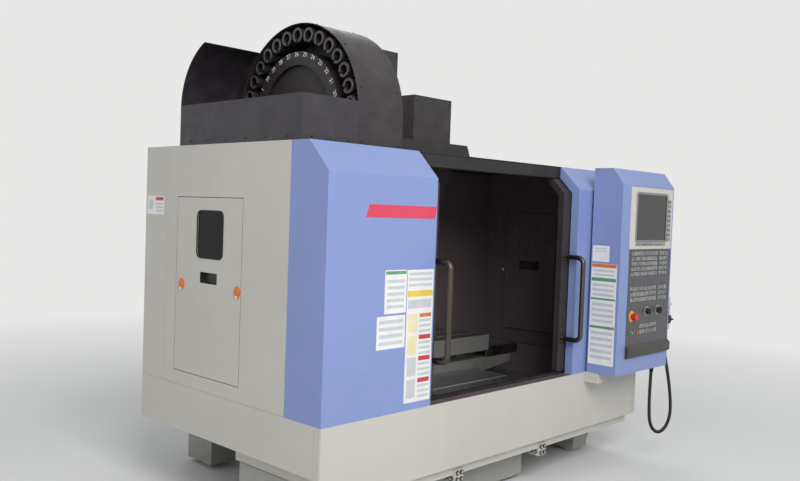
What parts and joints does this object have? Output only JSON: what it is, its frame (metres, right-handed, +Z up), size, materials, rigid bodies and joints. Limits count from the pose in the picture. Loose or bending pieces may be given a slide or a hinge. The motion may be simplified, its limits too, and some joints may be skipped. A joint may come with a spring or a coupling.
{
  "type": "cnc machining center",
  "caption": "Enclosed vertical machining centre with sliding front doors, side drum tool magazine with change arm, three-axis table and head, and a swivelling operator pendant.",
  "frame": {"origin": "middle of the footprint on the floor, measured over the machine without its cord", "axes": "+X to the operator's right, +Y from the doors to the rear, +Z up"},
  "size_m": [2.6184, 2.384, 2.32],
  "materials": {
    "shell_grey": "satin",
    "cover_blue": "satin",
    "sheet_black": "satin",
    "cover_grey": "satin",
    "cast_grey": "painted",
    "steel": "brushed",
    "chrome": "polished",
    "glass_tint": "clear",
    "black_plastic": "matte",
    "panel_grey": "matte",
    "key_grey": "matte",
    "stop_red": "gloss",
    "start_green": "gloss",
    "cord_black": "matte"
  },
  "bodies": {
    "frame": {"base": "cast_grey", "levelling_pads": "steel", "column": "cast_grey", "skirt": "shell_grey", "skirt_brackets": "steel", "left_side_panel": "shell_grey", "right_side_panel": "shell_grey", "left_front_cover": "cover_blue", "right_front_cover": "cover_blue", "roof": "sheet_black", "header_beam": "sheet_black", "rear_partition": "sheet_black", "tool_space_cover": "cover_grey", "drum_cover": "cover_grey", "magazine_frame": "cast_grey", "z_motor_cover": "cover_grey", "electrical_cabinet": "shell_grey", "fixed_way_covers": "steel", "fixed_axis_drives": "steel"},
    "cabinet_door": {"cabinet_door": "shell_grey"},
    "main_switch": {"main_switch": "stop_red"},
    "left_door": {"left_door": "sheet_black", "left_door_glass": "glass_tint", "left_door_handle": "cover_grey"},
    "right_door": {"right_door": "sheet_black", "right_door_glass": "glass_tint", "right_door_handle": "cover_grey"},
    "left_service_door": {"left_service_door": "shell_grey", "left_service_window": "glass_tint"},
    "left_front_latch": {"left_front_latch": "chrome"},
    "left_rear_latch": {"left_rear_latch": "chrome"},
    "right_service_door": {"right_service_door": "shell_grey", "right_service_window": "glass_tint"},
    "saddle": {"saddle": "cast_grey", "saddle_way_covers": "steel"},
    "table": {"table": "cast_grey", "table_way_covers": "steel"},
    "head": {"head": "cast_grey", "head_cover": "cover_grey", "spindle_cartridge": "steel"},
    "spindle": {"spindle": "chrome"},
    "z_way_plate": {"z_way_plate": "steel"},
    "y_way_plate": {"y_way_plate": "steel"},
    "magazine": {"magazine_disc": "sheet_black", "tool_pots": "black_plastic"},
    "active_pot": {"active_pot": "black_plastic"},
    "arm_shaft": {"arm_shaft": "steel"},
    "change_arm": {"change_arm": "steel"},
    "pendant": {"pendant_case": "cover_blue", "pendant_panel": "panel_grey", "display_glass": "glass_tint", "panel_keys": "key_grey", "handset": "panel_grey", "handset_cord": "cord_black"},
    "emergency_stop": {"emergency_stop": "stop_red"},
    "cycle_start_button": {"cycle_start_button": "start_green"},
    "feed_hold_button": {"feed_hold_button": "stop_red"},
    "feed_knob": {"feed_knob": "black_plastic"},
    "spindle_knob": {"spindle_knob": "black_plastic"},
    "handwheel": {"handwheel": "black_plastic"}
  },
  "joints": [
    {"name": "left_door_slide", "type": "slide", "parent": "frame", "child": "left_door", "axis": [1, 0, 0], "range_m": [0, 0.505]},
    {"name": "right_door_slide", "type": "slide", "parent": "frame", "child": "right_door", "axis": [-1, 0, 0], "range_m": [0, 0.505]},
    {"name": "left_service_door_lift", "type": "slide", "parent": "frame", "child": "left_service_door", "axis": [-1, 0, 0], "range_m": [0, 0.2]},
    {"name": "right_service_door_lift", "type": "slide", "parent": "frame", "child": "right_service_door", "axis": [1, 0, 0], "range_m": [0, 0.2]},
    {"name": "left_front_latch_turn", "type": "hinge", "parent": "left_service_door", "child": "left_front_latch", "pos_m": [-1.2745, -0.395, 1.028], "axis": [-1, 0, 0], "range_deg": [0, 90]},
    {"name": "left_rear_latch_turn", "type": "hinge", "parent": "left_service_door", "child": "left_rear_latch", "pos_m": [-1.2745, 0.051, 1.028], "axis": [1, 0, 0], "range_deg": [0, 90]},
    {"name": "saddle_slide", "type": "slide", "parent": "frame", "child": "saddle", "axis": [0, 1, 0], "range_m": [-0.2175, 0.2175]},
    {"name": "y_way_plate_slide", "type": "slide", "parent": "frame", "child": "y_way_plate", "axis": [0, 1, 0], "range_m": [-0.10875, 0.10875]},
    {"name": "table_slide", "type": "slide", "parent": "saddle", "child": "table", "axis": [1, 0, 0], "range_m": [-0.381, 0.381]},
    {"name": "head_slide", "type": "slide", "parent": "frame", "child": "head", "axis": [0, 0, 1], "range_m": [-0.51, 0]},
    {"name": "z_way_plate_slide", "type": "slide", "parent": "frame", "child": "z_way_plate", "axis": [0, 0, 1], "range_m": [-0.255, 0]},
    {"name": "spindle_turn", "type": "hinge", "parent": "head", "child": "spindle", "pos_m": [-0.068, -0.27, 1.404], "axis": [0, 0, 1], "continuous": true},
    {"name": "magazine_turn", "type": "hinge", "parent": "frame", "child": "magazine", "pos_m": [-0.8445, -0.373, 1.815], "axis": [1, 0, 0], "continuous": true},
    {"name": "active_pot_tilt", "type": "hinge", "parent": "magazine", "child": "active_pot", "pos_m": [-0.9315, -0.373, 1.443], "axis": [0, -1, 0], "range_deg": [0, 90]},
    {"name": "arm_lift", "type": "slide", "parent": "frame", "child": "arm_shaft", "axis": [0, 0, -1], "range_m": [0, 0.12]},
    {"name": "arm_turn", "type": "hinge", "parent": "arm_shaft", "child": "change_arm", "pos_m": [-0.49975, -0.3215, 1.36], "axis": [0, 0, 1], "range_deg": [0, 270]},
    {"name": "pendant_swing", "type": "hinge", "parent": "frame", "child": "pendant", "pos_m": [0.6645, -1.019, 1], "axis": [0, 0, -1], "range_deg": [0, 50]},
    {"name": "emergency_stop_press", "type": "slide", "parent": "pendant", "child": "emergency_stop", "axis": [0, 1, 0], "range_m": [0, 0.006]},
    {"name": "cycle_start_press", "type": "slide", "parent": "pendant", "child": "cycle_start_button", "axis": [0, 1, 0], "range_m": [0, 0.004], "stiffness_N_per_m": 400, "springref_m": -0.002},
    {"name": "feed_hold_press", "type": "slide", "parent": "pendant", "child": "feed_hold_button", "axis": [0, 1, 0], "range_m": [0, 0.004], "stiffness_N_per_m": 400, "springref_m": -0.002},
    {"name": "feed_knob_turn", "type": "hinge", "parent": "pendant", "child": "feed_knob", "pos_m": [0.9525, -1.159, 0.89], "axis": [0, 1, 0], "range_deg": [-135, 135]},
    {"name": "spindle_knob_turn", "type": "hinge", "parent": "pendant", "child": "spindle_knob", "pos_m": [1.0825, -1.159, 0.89], "axis": [0, 1, 0], "range_deg": [-120, 120]},
    {"name": "handwheel_turn", "type": "hinge", "parent": "pendant", "child": "handwheel", "pos_m": [1.2535, -1.14, 0.822], "axis": [0, 1, 0], "continuous": true},
    {"name": "cabinet_door_swing", "type": "hinge", "parent": "frame", "child": "cabinet_door", "pos_m": [0.4955, 1.14, 1.2], "axis": [0, 0, -1], "range_deg": [0, 120]},
    {"name": "main_switch_turn", "type": "hinge", "parent": "cabinet_door", "child": "main_switch", "pos_m": [-0.4845, 1.15, 1.4], "axis": [0, 1, 0], "range_deg": [0, 90]}
  ],
  "couplings": [
    {"joint": "z_way_plate_slide", "follows": "head_slide", "ratio": 0.5},
    {"joint": "y_way_plate_slide", "follows": "saddle_slide", "ratio": 0.5}
  ]
}
